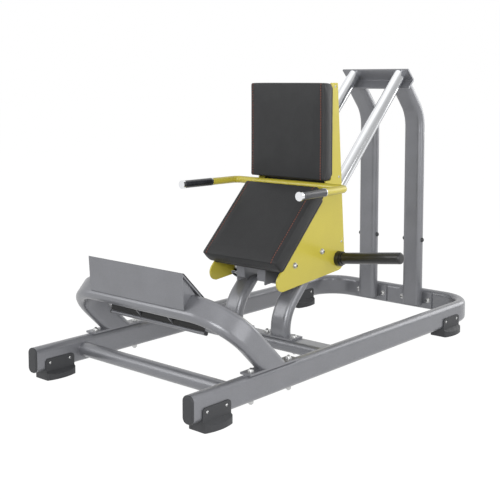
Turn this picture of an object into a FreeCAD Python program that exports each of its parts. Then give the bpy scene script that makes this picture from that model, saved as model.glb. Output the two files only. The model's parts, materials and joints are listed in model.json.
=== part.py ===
import FreeCAD, Part
import math
import os
import re
import Sketcher

# Calf raise machine: a padded carriage slides on two inclined rails above a U-shaped base,
# and the user's feet push against the folded plate on the front arch.
# X is across the machine, Y runs from the front to the rear, Z is up; lengths are in millimetres.

# Driving sizes, each set by itself
sizes = {
    # flat-oval frame tube and the U-shaped base
    "base_length": 1981, "base_width": 910, "tube_wide": 50, "tube_tall": 100, "tube_wall": 3,
    "tube_edge": 22, "tube_lift": 34, "bend_margin": 52,
    # domed end caps
    "cap_bulge": 8, "cap_plug": 25, "cap_play": 0.2, "cap_round": 6,
    # rubber feet
    "foot_length": 140, "foot_width": 104, "foot_waist": 78, "foot_rim": 20, "foot_slope": 14,
    "flap_thick": 5, "flap_rise": 50, "flap_round": 14, "foot_front_setback": 115.5,
    "foot_bend_gap": 24, "foot_play": 0.2, "foot_screw_rise": 33, "foot_screw_gap": 96,
    "foot_corner": 8,
    # cross tubes of the base
    "front_cross_round": 58, "front_cross_setback": 244,
    # front arch
    "arch_setback": 199, "arch_height": 366, "arch_lean": 44, "arch_bend": 168,
    "arch_flange_length": 275, "arch_flange_thick": 8, "arch_bolt_inset": 30,
    # folded foot plate
    "plate_thick": 5, "plate_width": 514, "apron_height": 136, "apron_lean": 8, "tread_length": 166,
    "tread_angle": 45, "heel_drop": 116, "heel_lean": 4, "fold_round": 9, "plate_play": 0.2,
    "gusset_thick": 6, "gusset_inset": 10, "heel_gusset_spacing": 176, "mat_thick": 5, "mat_inset": 9,
    "heel_sheet_thick": 3, "heel_sheet_edge": 1, "lip_round": 16, "lip_plug": 6,
    # guide rails
    "rail_angle": 45, "rail_round": 60, "rail_wall": 4, "rail_spacing": 266, "rail_length": 1241,
    "rail_top_reach": 144.6, "rail_end_wall": 12,
    # curved rail supports
    "support_width": 90, "support_gap": 18, "support_bend": 170, "support_overlap": 102,
    "support_reach": 23.9, "support_run": 18.4,
    "support_plate_width": 176, "support_plate_length": 74, "support_plate_thick": 7,
    "support_bolt_gap": 148, "seat_block_length": 84, "seat_block_width": 50, "seat_block_cradle": 12,
    "tie_round": 30, "tie_inset": 56,
    # bottom stop on each rail
    "stop_collar_width": 20, "stop_collar_round": 84, "bumper_length": 18, "bumper_round": 76,
    "stop_gap": 0.3,
    # rear uprights
    "upright_lean": 42, "upright_bend": 170, "upright_lift": 62, "upright_flange_thick": 6,
    "upright_flange_width": 190, "upright_flange_tall": 80, "upright_bolt_gap": 149,
    "plug_round": 24, "plug_dome": 10, "plug_height": 391,
    # folded top bracket
    "bracket_width": 381, "bracket_thick": 8, "bracket_rise": 30, "bracket_drop": 46,
    "bracket_lower": 64, "bracket_round": 10,
    # carriage side plates, measured from the middle of the lower bearings
    "carriage_start": 213, "side_spacing": 380, "side_thick": 7, "seat_line": 109, "side_top": 688,
    "side_top_front": 95.5, "side_top_rear": 141.5, "side_heel_back": 205, "side_heel_drop": 130.5,
    "side_toe_reach": 358, "side_toe_round": 38, "side_heel_round": 50, "side_top_round": 5,
    "side_notch_rise": 267.5, "side_notch_front": 59.5,
    # inner web plates
    "web_spacing": 160, "web_thick": 6, "web_front": 212, "web_bottom": 158.5, "web_heel": 58,
    "web_drop": 62, "web_rear": 200, "web_flange": 44, "web_flange_rise": 18,
    # bearings
    "bearing_length": 84, "bearing_half": 62, "bearing_pitch": 154, "liner_wall": 4,
    "running_play": 0.08, "liner_play": 0.05, "bearing_bolt_rise": 49,
    # cross members of the carriage
    "strip_width": 40, "strip_thick": 6, "seat_strip_inset": 45, "back_strip_inset": 60,
    "back_strip_drop": 26,
    "front_tube_round": 38, "front_tube_along": 156, "front_tube_rise": 59,
    "horn_tube_round": 48, "horn_tube_wall": 3, "rod_round": 16, "rod_edge": 18, "rod_top_drop": 15.5,
    "rod_middle_rise": 279.5, "rod_low_drop": 8.5,
    # cushions and their boards
    "board_thick": 12, "board_inset": 8, "board_corner": 18, "cushion_corner": 20, "cushion_draw": 5,
    "cushion_shoulder": 8, "cushion_crown": 3, "crown_inset": 44,
    "seat_width": 410, "seat_length": 410, "seat_thick": 68, "seat_start": 240,
    "back_width": 410, "back_height": 415, "back_thick": 68, "back_lift": 4.5,
    # handlebar
    "bar_round": 32, "bar_wall": 3, "bar_half": 308, "bar_bend": 34, "bar_rise": 244.5,
    "bar_splay": 3.1, "bar_arm": 338, "grip_start": 169, "grip_length": 161, "grip_wall": 1,
    "cap_length": 13, "cap_wall": 2.5, "ring_length": 4, "ring_wall": 2, "grip_play": 0.1,
    # weight horns
    "horn_back": 153.5, "horn_drop": 81.5, "horn_tilt": 7, "horn_round": 50, "horn_length": 329,
    "horn_wall": 4, "horn_tip_round": 9, "collar_round": 66, "collar_thick": 20, "collar_ring_round": 58,
    "collar_ring_thick": 6,
    # fasteners
    "bolt_round": 12, "bolt_head": 22, "bolt_dome": 10.5, "washer_round": 26, "washer_thick": 2,
    "nut_round": 21, "nut_thick": 9, "bolt_end": 4, "bolt_play": 0.2, "bolt_depth": 30,
    "screw_round": 5, "screw_head": 11, "screw_dome": 3, "screw_depth": 14,
    # cutting margin
    "overrun": 20,
}

# Places and sizes that follow from the driving ones
derived = {
    "side_x": "(base_width - tube_wide) / 2",
    "side_face": "side_x - tube_wide / 2",
    "tube_mid": "tube_lift + tube_tall / 2",
    "tube_top": "tube_lift + tube_tall",
    "front_y": "cap_bulge - base_length / 2",
    "rear_y": "(base_length - tube_wide) / 2",
    "front_cross_y": "front_cross_setback - base_length / 2",
    "foot_front_y": "foot_front_setback - base_length / 2",
    "rear_bend": "side_x - rail_x - upright_flange_width / 2 - bend_margin",
    "foot_rear_y": "rear_y - rear_bend - foot_bend_gap - foot_length / 2",
    "arch_y": "arch_setback - base_length / 2",
    "arch_foot_z": "tube_top + arch_flange_thick",
    "edge_tangent": "tube_edge * (sqrt(2) - 1)",
    "lean_sin": "sin(arch_lean * 1 deg)",
    "lean_cos": "cos(arch_lean * 1 deg)",
    "arch_leg": "(arch_height - arch_foot_z) / lean_sin",
    "arch_foot_y": "arch_y + arch_leg * lean_cos",
    "tread_sin": "sin(tread_angle * 1 deg)",
    "tread_cos": "cos(tread_angle * 1 deg)",
    "apron_front": "-tube_wide / 2 / lean_cos - plate_play - plate_thick",
    "fold_y": "apron_front - apron_lean",
    "heel_y": "fold_y + tread_length * tread_cos",
    "heel_z": "apron_height - tread_length * tread_sin",
    "apron_share": "apron_lean / apron_height",
    "heel_share": "heel_lean / heel_drop",
    "fold_depth": "plate_thick * (tread_sin + 1) / (tread_cos - apron_share * tread_sin)",
    "heel_depth": "plate_thick * (1 - tread_sin) / (tread_cos - heel_share * tread_sin)",
    "rail_x": "rail_spacing / 2",
    "rail_sin": "sin(rail_angle * 1 deg)",
    "rail_cos": "cos(rail_angle * 1 deg)",
    "upright_y": "rear_y - tube_wide - upright_flange_thick",
    "rail_top_y": "upright_y - rail_top_reach",
    "rail_foot_y": "rail_top_y - rail_length * rail_cos",
    "support_y": "rail_foot_y - support_reach",
    "support_drop": "rail_round / 2 + support_gap + tube_wide / 2",
    "support_foot_z": "tube_mid + tube_wide / 2 + support_plate_thick",
    "support_corner_z": "support_foot_z + support_run + support_bend * tan((90 - rail_angle) / 2 * 1 deg)",
    "rail_foot_z": "support_corner_z + support_reach * rail_sin / rail_cos + support_drop / rail_cos",
    "rail_top_z": "rail_foot_z + rail_length * rail_sin",
    "support_end_y": "rail_foot_y + support_overlap * rail_cos + support_drop * rail_sin",
    "support_end_z": "rail_foot_z + support_overlap * rail_sin - support_drop * rail_cos",
    "tie_y": "support_end_y - tie_inset * rail_cos",
    "tie_z": "support_end_z - tie_inset * rail_sin",
    "stop_start": "carriage_start - bearing_length / 2 - stop_gap - bumper_length - stop_collar_width",
    "up_sin": "sin(upright_lean * 1 deg)",
    "up_cos": "cos(upright_lean * 1 deg)",
    "bracket_y": "rail_top_y + bracket_thick * rail_cos + bracket_drop * rail_sin",
    "bracket_z": "rail_top_z + bracket_thick * rail_sin - bracket_drop * rail_cos",
    "bracket_upper": "bracket_rise + bracket_drop",
    "bracket_fold": "bracket_thick / sin((90 + upright_lean - rail_angle) * 1 deg)",
    "upright_end_y": "bracket_y - bracket_lower / 2 * up_cos",
    "upright_end_z": "bracket_z - bracket_lower / 2 * up_sin",
    "upright_corner_z": "upright_end_z - (upright_y - upright_end_y) * up_cos / up_sin",
    "carriage_y": "rail_foot_y + carriage_start * rail_cos",
    "carriage_z": "rail_foot_z + carriage_start * rail_sin",
    "side_face_in": "side_spacing / 2 - side_thick",
    "web_face": "web_spacing / 2",
    "web_inner": "web_face - web_thick",
    "web_top": "seat_line - strip_thick",
    "bore_round": "rail_round + 2 * running_play",
    "liner_round": "bore_round + 2 * liner_wall",
    "seat_middle": "seat_length / 2 - seat_start",
    "back_face": "carriage_y + side_top_front",
    "back_middle": "carriage_z + side_notch_rise + back_lift + back_height / 2",
    "bar_y": "carriage_y + side_notch_front - bar_round / 2",
    "bar_z": "carriage_z + bar_rise",
    "horn_y": "carriage_y + horn_back",
    "horn_z": "carriage_z - horn_drop",
    "collar_end": "side_spacing / 2 + collar_thick",
    "horn_lead": "collar_ring_round / 2 * sin(horn_tilt * 1 deg) / cos(horn_tilt * 1 deg)",
    "rear_slope": "(side_heel_back - side_top_rear) / (side_top + side_heel_drop)",
}

doc = FreeCAD.newDocument("CalfRaiseMachine")
sheet = doc.addObject("Spreadsheet::Sheet", "Sizes")
for row, (alias, number) in enumerate(sizes.items(), start=1):
    sheet.set(f"A{row}", str(number))
    sheet.setAlias(f"A{row}", alias)
doc.recompute()

nodes = []
sides = (("left", "-1"), ("right", "1"))
X_AXIS = FreeCAD.Vector(1, 0, 0)
Y_AXIS = FreeCAD.Vector(0, 1, 0)
Z_AXIS = FreeCAD.Vector(0, 0, 1)


# Formulas in plain size names, for the sheet and for numbers
def full(formula):
    def swap(match):
        word = match.group(0)
        if word in sizes:
            return "Sizes." + word
        if word in derived:
            return "(" + full(derived[word]) + ")"
        return word
    return re.sub(r"[a-z][a-z_]*", swap, formula)


def value(formula):
    result = sheet.evalExpression(full(formula))
    return float(getattr(result, "Value", result))


def bind(item, prop, formula):
    item.setExpression(prop, full(formula))


def place(item, x="0", y="0", z="0", axis=X_AXIS, turn="0"):
    item.Placement = FreeCAD.Placement(FreeCAD.Vector(), FreeCAD.Rotation(axis, value(turn)))
    for prop, formula in (("Base.x", x), ("Base.y", y), ("Base.z", z), ("Rotation.Angle", turn)):
        if formula != "0":
            bind(item, "Placement." + prop, formula)
    return item


def on_rail(item, x="0", along="0", rise="0", axis=X_AXIS, turn="rail_angle"):
    # along the rail from its foot, and rise square to it towards the seat
    y = f"rail_foot_y + ({along}) * rail_cos - ({rise}) * rail_sin"
    z = f"rail_foot_z + ({along}) * rail_sin + ({rise}) * rail_cos"
    return place(item, x, y, z, axis, turn)


def node(label, item):
    item.Label = label
    nodes.append(item)
    return item


# Sketches on a body's own origin planes
def new_body(name):
    return doc.addObject("PartDesign::Body", name)


def sketch(body, role, level="0"):
    plane = next(item for item in body.Origin.OriginFeatures if item.Role == role)
    item = body.newObject("Sketcher::SketchObject", body.Name + "_sketch")
    item.AttachmentSupport = [(plane, "")]
    item.MapMode = "FlatFace"
    if level != "0":
        bind(item, "AttachmentOffset.Base.z", level)
    return item


def tie(item, kind, *rest, formula=None):
    index = item.addConstraint(Sketcher.Constraint(kind, *rest))
    if formula is not None:
        bind(item, f"Constraints[{index}]", formula)


def ring(item, radius, a="0", b="0"):
    center = FreeCAD.Vector(value(a), value(b), 0)
    index = item.addGeometry(Part.Circle(center, Z_AXIS, value(radius)))
    tie(item, "DistanceX", -1, 1, index, 3, center.x, formula=a)
    tie(item, "DistanceY", -1, 1, index, 3, center.y, formula=b)
    tie(item, "Radius", index, value(radius), formula=radius)


def outline(item, corners, closed=True):
    # straight runs between corners, each corner rounded by its own radius where it has one
    points = [FreeCAD.Vector(value(a), value(b), 0) for a, b, *_ in corners]
    rounds = [corner[2] if len(corner) > 2 else None for corner in corners]
    count = len(points)
    begin = [None] * count
    finish = [None] * count
    arcs = {}
    for i, point in enumerate(points):
        inside = closed or 0 < i < count - 1
        if rounds[i] is None or not inside:
            begin[i] = finish[i] = point
            continue
        back = (points[i - 1] - point).normalize()
        ahead = (points[(i + 1) % count] - point).normalize()
        half = back.getAngle(ahead) / 2
        radius = value(rounds[i])
        reach = radius / math.tan(half)
        begin[i] = point + back * reach
        finish[i] = point + ahead * reach
        center = point + (back + ahead).normalize() * (radius / math.sin(half))
        arcs[i] = (center, radius)
    lines = {}
    for i in range(count if closed else count - 1):
        lines[i] = item.addGeometry(Part.LineSegment(finish[i], begin[(i + 1) % count]))
    for i, point in enumerate(points):
        before = lines.get((i - 1) % count) if closed or i > 0 else None
        after = lines.get(i)
        if i not in arcs:
            if before is not None and after is not None:
                tie(item, "Coincident", before, 2, after, 1)
            line, end = (after, 1) if after is not None else (before, 2)
            tie(item, "DistanceX", -1, 1, line, end, point.x, formula=corners[i][0])
            tie(item, "DistanceY", -1, 1, line, end, point.y, formula=corners[i][1])
            continue
        center, radius = arcs[i]
        first = math.atan2(begin[i].y - center.y, begin[i].x - center.x)
        last = math.atan2(finish[i].y - center.y, finish[i].x - center.x)
        turn = (begin[i] - center).cross(finish[i] - center).z
        if turn < 0:
            first, last = last, first
        while last < first:
            last += 2 * math.pi
        arc = item.addGeometry(Part.ArcOfCircle(Part.Circle(center, Z_AXIS, radius), first, last))
        mark = item.addGeometry(Part.Point(point), True)
        tie(item, "Tangent", before, 2, arc, 1 if turn > 0 else 2)
        tie(item, "Tangent", after, 1, arc, 2 if turn > 0 else 1)
        tie(item, "PointOnObject", mark, 1, before)
        tie(item, "PointOnObject", mark, 1, after)
        tie(item, "DistanceX", -1, 1, mark, 1, point.x, formula=corners[i][0])
        tie(item, "DistanceY", -1, 1, mark, 1, point.y, formula=corners[i][1])
        tie(item, "Radius", arc, radius, formula=rounds[i])


def oblong(item, wide, tall, corner, a="0", b="0"):
    left, right = f"{a} - ({wide}) / 2", f"{a} + ({wide}) / 2"
    low, high = f"{b} - ({tall}) / 2", f"{b} + ({tall}) / 2"
    outline(item, [(left, low, corner), (right, low, corner), (right, high, corner),
                   (left, high, corner)])


def tube_section(item, wide, tall, a="0", b="0"):
    oblong(item, wide, tall, "tube_edge", a, b)
    oblong(item, f"{wide} - 2 * tube_wall", f"{tall} - 2 * tube_wall", "tube_edge - tube_wall", a, b)


# Features of a body
def pad(body, profile, length, reverse=False, centred=False):
    item = body.newObject("PartDesign::Pad", body.Name + "_pad")
    item.Profile = profile
    bind(item, "Length", length)
    item.Reversed = reverse
    if centred:
        item.SideType = "Symmetric"
    doc.recompute()
    return item


def pipe(body, profile, path):
    item = body.newObject("PartDesign::AdditivePipe", body.Name + "_pipe")
    item.Profile = profile
    item.Spine = path
    doc.recompute()
    return item


def pocket(body, profile, length, reverse=False):
    item = body.newObject("PartDesign::Pocket", body.Name + "_pocket")
    item.Profile = profile
    bind(item, "Length", length)
    item.Reversed = reverse
    doc.recompute()
    return item


def fillet(body, base, radius, chosen):
    edges = [f"Edge{i}" for i, edge in enumerate(base.Shape.Edges, start=1) if chosen(edge)]
    item = body.newObject("PartDesign::Fillet", body.Name + "_fillet")
    item.Base = (base, edges)
    bind(item, "Radius", radius)
    doc.recompute()
    return item


# Solids that stand alone
def box(name, x_size, y_size, z_size):
    item = doc.addObject("Part::Box", name)
    for prop, formula in (("Length", x_size), ("Width", y_size), ("Height", z_size)):
        bind(item, prop, formula)
    return item


def rod(name, round_size, length):
    item = doc.addObject("Part::Cylinder", name)
    bind(item, "Radius", f"({round_size}) / 2")
    bind(item, "Height", length)
    return item


def cut(name, base, tools):
    tool = tools[0]
    if len(tools) > 1:
        tool = doc.addObject("Part::Compound", name + "_tools")
        tool.Links = tools
    item = doc.addObject("Part::Cut", name + "_cut")
    item.Base = base
    item.Tool = tool
    return item


def join(name, items):
    item = doc.addObject("Part::MultiFuse", name + "_join")
    item.Shapes = items
    return item


def group(label, items):
    item = doc.addObject("Part::Compound", label + "_group")
    item.Links = items
    return node(label, item)


def hollow(name, outer, inner, length):
    # a round tube along its own Z axis
    core = rod(name + "_core", inner, f"{length} + 2 * overrun")
    place(core, z="-overrun")
    return cut(name, rod(name + "_outer", outer, length), [core])


# Fasteners, made along Z with the head's seat at the origin
def fastener(name, kind, grip, nut):
    head = f"{kind}_head"
    dome = f"{kind}_dome"
    ball = f"(({head} / 2) ^ 2 + {dome} ^ 2) / (2 * {dome})"
    seat = "washer_thick" if kind == "bolt" else "0"
    cap = doc.addObject("Part::Sphere", name + "_cap")
    bind(cap, "Radius", ball)
    bind(cap, "Angle1", f"asin(1 - {dome} / ({ball}))")
    cap.Angle2 = 90
    place(cap, z=f"{seat} + {dome} - ({ball})")
    length = f"{grip} + nut_thick + bolt_end" if nut else grip
    shank = rod(name + "_shank", f"{kind}_round", f"{length} + {seat}")
    place(shank, z=f"-({length})")
    pieces = [cap, shank]
    if kind == "bolt":
        pieces.append(rod(name + "_washer", "washer_round", "washer_thick"))
    if nut:
        hexagon = doc.addObject("Part::Prism", name + "_nut")
        hexagon.Polygon = 6
        bind(hexagon, "Circumradius", "nut_round / 2")
        bind(hexagon, "Height", "nut_thick")
        place(hexagon, z=f"-({grip}) - nut_thick")
        pieces.append(hexagon)
    return join(name, pieces)


def fixing(name, kind, grip, spot, nut=False):
    # one fastener and the drill for its hole, both put where spot puts them
    screw = fastener(name, kind, grip, nut)
    tool = rod(name + "_drill", f"{kind}_round + 2 * bolt_play", f"{grip} + bolt_play + overrun")
    holder = doc.addObject("Part::Compound", name + "_hole")
    place(tool, z=f"-({grip}) - bolt_play")
    holder.Links = [tool]
    spot(screw)
    spot(holder)
    return screw, holder


# Side, rear and cross tubes of the base
def base_frame(drills):
    body = new_body("base_tube")
    path = sketch(body, "XY_Plane", "tube_mid")
    outline(path, [("side_x", "front_y"), ("side_x", "rear_y", "rear_bend"),
                   ("-side_x", "rear_y", "rear_bend"), ("-side_x", "front_y")], closed=False)
    profile = sketch(body, "XZ_Plane", "-front_y")
    tube_section(profile, "tube_wide", "tube_tall", "side_x", "tube_mid")
    pipe(body, profile, path)
    node("base_frame", cut("base_frame", body, drills))


def front_cross_tube():
    tube = hollow("front_cross", "front_cross_round", "front_cross_round - 2 * tube_wall",
                  "2 * side_face")
    place(tube, "-side_face", "front_cross_y", "tube_mid", Y_AXIS, "90")
    node("front_cross_tube", tube)


def support_cross_tube(drills):
    body = new_body("support_cross")
    profile = sketch(body, "YZ_Plane")
    tube_section(profile, "tube_tall", "tube_wide", "support_y", "tube_mid")
    pad(body, profile, "2 * side_face", centred=True)
    node("support_cross_tube", cut("support_cross_tube", body, drills))


def end_cap(side, sign):
    body = new_body("end_cap_" + side)
    face = sketch(body, "XZ_Plane", "-front_y")
    oblong(face, "tube_wide", "tube_tall", "tube_edge", f"{sign} * side_x", "tube_mid")
    lid = pad(body, face, "cap_bulge")
    rim = value("front_y - cap_bulge")
    fillet(body, lid, "cap_round", lambda edge: edge.BoundBox.YMax < rim + value("cap_play"))
    plug = sketch(body, "XZ_Plane", "-front_y")
    oblong(plug, "tube_wide - 2 * tube_wall - 2 * cap_play", "tube_tall - 2 * tube_wall - 2 * cap_play",
           "tube_edge - tube_wall - cap_play", f"{sign} * side_x", "tube_mid")
    pad(body, plug, "cap_plug", reverse=True)
    node("end_cap_" + side, body)


# Rubber foot: a barrel-shaped base with a flap up each face of the tube
def foot(name, x, y, drills):
    shell = new_body(name + "_shell")
    section = sketch(shell, "XZ_Plane")
    flap = "tube_wide / 2 + foot_play + flap_thick"
    top = "tube_lift + flap_rise"
    knee = "foot_rim + foot_slope"
    corners = [("foot_width / 2", "0"), ("foot_width / 2", "foot_rim"), (flap, knee), (flap, top)]
    outline(section, corners + [("-(" + a + ")", b) for a, b in reversed(corners)])
    block = pad(shell, section, "foot_length", centred=True)
    height = value(top)
    fillet(shell, block, "flap_round",
           lambda edge: edge.BoundBox.YLength < value("foot_play")
           and edge.BoundBox.ZMin > height - value("foot_play"))
    plan = new_body(name + "_plan")
    barrel = sketch(plan, "XY_Plane")
    half, waist = value("foot_length / 2"), value("foot_waist / 2")
    bulge = "(foot_width - foot_waist) / 2"
    sweep = f"((foot_length / 2) ^ 2 + ({bulge}) ^ 2) / (2 * {bulge})"
    radius, middle = value(sweep), value(f"foot_width / 2 - ({sweep})")
    angle = math.asin(half / radius)
    spots = [("foot_waist / 2", "-foot_length / 2"), ("foot_waist / 2", "foot_length / 2"),
             ("-foot_waist / 2", "foot_length / 2"), ("-foot_waist / 2", "-foot_length / 2")]
    right = barrel.addGeometry(Part.ArcOfCircle(
        Part.Circle(FreeCAD.Vector(middle, 0, 0), Z_AXIS, radius), -angle, angle))
    rear = barrel.addGeometry(Part.LineSegment(
        FreeCAD.Vector(waist, half, 0), FreeCAD.Vector(-waist, half, 0)))
    left = barrel.addGeometry(Part.ArcOfCircle(
        Part.Circle(FreeCAD.Vector(-middle, 0, 0), Z_AXIS, radius), math.pi - angle, math.pi + angle))
    front = barrel.addGeometry(Part.LineSegment(
        FreeCAD.Vector(-waist, -half, 0), FreeCAD.Vector(waist, -half, 0)))
    chain = [right, rear, left, front]
    for i, piece in enumerate(chain):
        tie(barrel, "Coincident", piece, 2, chain[(i + 1) % len(chain)], 1)
        tie(barrel, "DistanceX", -1, 1, piece, 1, value(spots[i][0]), formula=spots[i][0])
        tie(barrel, "DistanceY", -1, 1, piece, 1, value(spots[i][1]), formula=spots[i][1])
    for arc in (right, left):
        tie(barrel, "Radius", arc, radius, formula=sweep)
    slab = pad(plan, barrel, f"{top} + overrun")
    fillet(plan, slab, "foot_corner", lambda edge: edge.BoundBox.ZLength > height)
    trough = new_body(name + "_trough")
    void = sketch(trough, "XZ_Plane")
    oblong(void, "tube_wide + 2 * foot_play", "tube_tall + 2 * foot_play", "tube_edge + foot_play",
           "0", "tube_mid")
    pad(trough, void, "foot_length + 2 * overrun", centred=True)
    common = doc.addObject("Part::Common", name + "_common")
    common.Base = shell
    common.Tool = plan
    saddle = cut(name + "_saddle", common, [trough])
    place(saddle, x, y)
    node(name, cut(name, saddle, drills))


# Front arch, bent in a plane that leans square to the rails
def arch_beam():
    body = new_body("arch_sweep")
    path = sketch(body, "XY_Plane")
    leg = "(arch_leg + tube_tall / 2 * lean_cos / lean_sin + overrun)"
    outline(path, [("side_x", leg), ("side_x", "0", "arch_bend"), ("-side_x", "0", "arch_bend"),
                   ("-side_x", leg)], closed=False)
    profile = sketch(body, "XZ_Plane", "-" + leg)
    tube_section(profile, "tube_wide", "tube_tall", "side_x", "0")
    pipe(body, profile, path)
    place(body, y="arch_y", z="arch_height", turn="-arch_lean")
    below = box("arch_trim", "base_width", "base_length", "arch_height")
    place(below, "-base_width / 2", "-base_length / 2", "arch_foot_z - arch_height")
    node("arch_beam", cut("arch_beam", body, [below]))


def arch_flanges(drills):
    plates = []
    for side, sign in sides:
        plate = box("arch_flange_" + side, "tube_wide", "arch_flange_length", "arch_flange_thick")
        place(plate, f"{sign} * side_x - tube_wide / 2", "arch_foot_y - arch_flange_length / 2", "tube_top")
        plates.append(cut("arch_flange_" + side, plate, drills[side]))
    group("arch_flanges", plates)


# Folded foot plate over the arch, with its gussets, rubber sheets and lip rod
lip_y = "arch_y + heel_y + heel_lean - plate_thick / 2"
lip_z = "arch_height + heel_z - heel_drop - lip_round / 2"


def foot_plate():
    body = new_body("foot_plate")
    profile = sketch(body, "YZ_Plane")
    inner_round = "fold_round - plate_thick"
    outline(profile, [
        ("apron_front", "0"),
        ("fold_y", "apron_height"),
        ("heel_y", "heel_z", "fold_round"),
        ("heel_y + heel_lean", "heel_z - heel_drop"),
        ("heel_y + heel_lean - plate_thick", "heel_z - heel_drop"),
        ("heel_y - plate_thick + heel_share * heel_depth", "heel_z - heel_depth", inner_round),
        ("fold_y + plate_thick + apron_share * fold_depth", "apron_height - fold_depth"),
        ("apron_front + plate_thick", "0")])
    pad(body, profile, "plate_width", centred=True)
    place(body, y="arch_y", z="arch_height")
    node("foot_plate", body)


def on_beam(along, out):
    # a point of the arch's own plane, along its slope and square to it, as Y and Z offsets
    return (f"({along}) * lean_cos + ({out}) * lean_sin", f"({out}) * lean_cos - ({along}) * lean_sin")


def foot_plate_gussets():
    half = "tube_wide / 2 + plate_play"
    flat = "tube_tall / 2 - tube_edge"
    crest = "tube_tall / 2 + plate_play"
    under = "(plate_thick + plate_play) / tread_cos"
    inner = "fold_y + plate_thick + plate_play"
    front = [("apron_front + plate_thick + plate_play", "2 * plate_play"),
             (inner + " + apron_share * fold_depth", "apron_height - fold_depth - 2 * plate_play",
              "fold_round"),
             ("0", f"apron_height + fold_y * tread_sin / tread_cos - {under}"),
             on_beam("0", crest),
             on_beam(f"tube_edge - ({half}) - edge_tangent", crest),
             on_beam(f"-({half})", f"{flat} + edge_tangent"),
             on_beam(f"-({half})", flat)]
    rear = [("heel_y + heel_lean - plate_thick - plate_play", "heel_z - heel_drop"),
            ("heel_y - plate_thick - plate_play + heel_share * heel_depth", "tube_edge / 2"),
            on_beam(f"{half} + plate_play", f"{flat} + plate_play"),
            on_beam(half, f"-({flat}) / 2")]
    plates = []
    for side, sign in sides:
        edge = f"{sign} * (plate_width / 2 - gusset_inset - gusset_thick / 2)"
        for name, corners, x in (("end", front, edge), ("heel", rear, f"{sign} * heel_gusset_spacing / 2")):
            body = new_body(f"{name}_gusset_{side}")
            outline(sketch(body, "YZ_Plane"), corners)
            pad(body, body.Group[-1], "gusset_thick", centred=True)
            place(body, x, "arch_y", "arch_height")
            plates.append(body)
    group("foot_plate_gussets", plates)


def tread_mat():
    # one sheet on the tread and three between the gussets on the inside of the rear panel
    mat = box("tread_sheet", "plate_width", "tread_length - 2 * mat_inset", "mat_thick")
    place(mat, "-plate_width / 2", "arch_y + fold_y + mat_inset * tread_cos",
          "arch_height + apron_height - mat_inset * tread_sin", turn="-tread_angle")
    sheets = [mat]
    high, low = "(heel_depth + plate_thick)", "(heel_drop - heel_sheet_edge)"
    middle = "(heel_gusset_spacing - gusset_thick - 2 * plate_play)"
    outer = "((plate_width - heel_gusset_spacing - gusset_thick) / 2 - plate_play)"
    for name, wide, x in (("left", outer, f"({outer} - plate_width) / 2"), ("middle", middle, "0"),
                          ("right", outer, f"(plate_width - {outer}) / 2")):
        body = new_body("heel_sheet_" + name)
        outline(sketch(body, "YZ_Plane"), [
            (f"heel_y - plate_thick + heel_share * {low}", f"heel_z - {low}"),
            (f"heel_y - plate_thick + heel_share * {high}", f"heel_z - {high}"),
            (f"heel_y - plate_thick - heel_sheet_thick + heel_share * {high}", f"heel_z - {high}"),
            (f"heel_y - plate_thick - heel_sheet_thick + heel_share * {low}", f"heel_z - {low}")])
        pad(body, body.Group[-1], wide, centred=True)
        place(body, x, "arch_y", "arch_height")
        sheets.append(body)
    group("tread_mat", sheets)


def foot_rod():
    # welded along the rear panel's lower edge
    bar = rod("foot_rod", "lip_round", "plate_width")
    place(bar, "-plate_width / 2", lip_y, lip_z, Y_AXIS, "90")
    node("foot_rod", bar)


# Chrome guide rails, closed at the top where they bolt to the bracket
def guide_rail(side, sign, drills):
    outer = rod("rail_" + side, "rail_round", "rail_length")
    bore = rod("rail_bore_" + side, "rail_round - 2 * rail_wall", "rail_length - rail_end_wall + overrun")
    place(bore, z="-overrun")
    tube = cut("rail_tube_" + side, outer, [bore])
    on_rail(tube, f"{sign} * rail_x", turn="rail_angle - 90")
    node("guide_rail_" + side, cut("guide_rail_" + side, tube, drills))


# Curved supports that carry the rails' feet, on plates bolted to the cross tube
def rail_support(side, sign, drills):
    body = new_body("support_tube_" + side)
    path = sketch(body, "YZ_Plane", f"{sign} * rail_x")
    outline(path, [("support_y", "support_foot_z"), ("support_y", "support_corner_z", "support_bend"),
                   ("support_end_y", "support_end_z")], closed=False)
    profile = sketch(body, "XY_Plane", "support_foot_z")
    tube_section(profile, "support_width", "tube_wide", f"{sign} * rail_x", "support_y")
    pipe(body, profile, path)
    node("rail_support_" + side, cut("rail_support_" + side, body, drills))


def support_base_plates(drills):
    plates = []
    for side, sign in sides:
        plate = box("support_plate_" + side, "support_plate_width", "support_plate_length",
                    "support_plate_thick")
        place(plate, f"{sign} * rail_x - support_plate_width / 2", "support_y - support_plate_length / 2",
              "support_foot_z - support_plate_thick")
        plates.append(cut("support_plate_" + side, plate, drills[side]))
    group("support_base_plates", plates)


def support_tie():
    bar = rod("support_tie", "tie_round", "rail_spacing - support_width")
    place(bar, "support_width / 2 - rail_x", "tie_y", "tie_z", Y_AXIS, "90")
    node("support_tie", bar)


def rail_seats(drills):
    seats = []
    for side, sign in sides:
        block = box("rail_seat_" + side, "seat_block_width", "seat_block_length",
                    "support_gap + seat_block_cradle")
        on_rail(block, f"{sign} * rail_x - seat_block_width / 2",
                "(support_overlap - seat_block_length) / 2", "-support_gap - rail_round / 2")
        groove = rod("rail_groove_" + side, "rail_round + 2 * liner_play", "rail_length")
        on_rail(groove, f"{sign} * rail_x", turn="rail_angle - 90")
        seats.append(cut("rail_seat_" + side, block, [groove] + drills[side]))
    group("rail_seats", seats)


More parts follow.
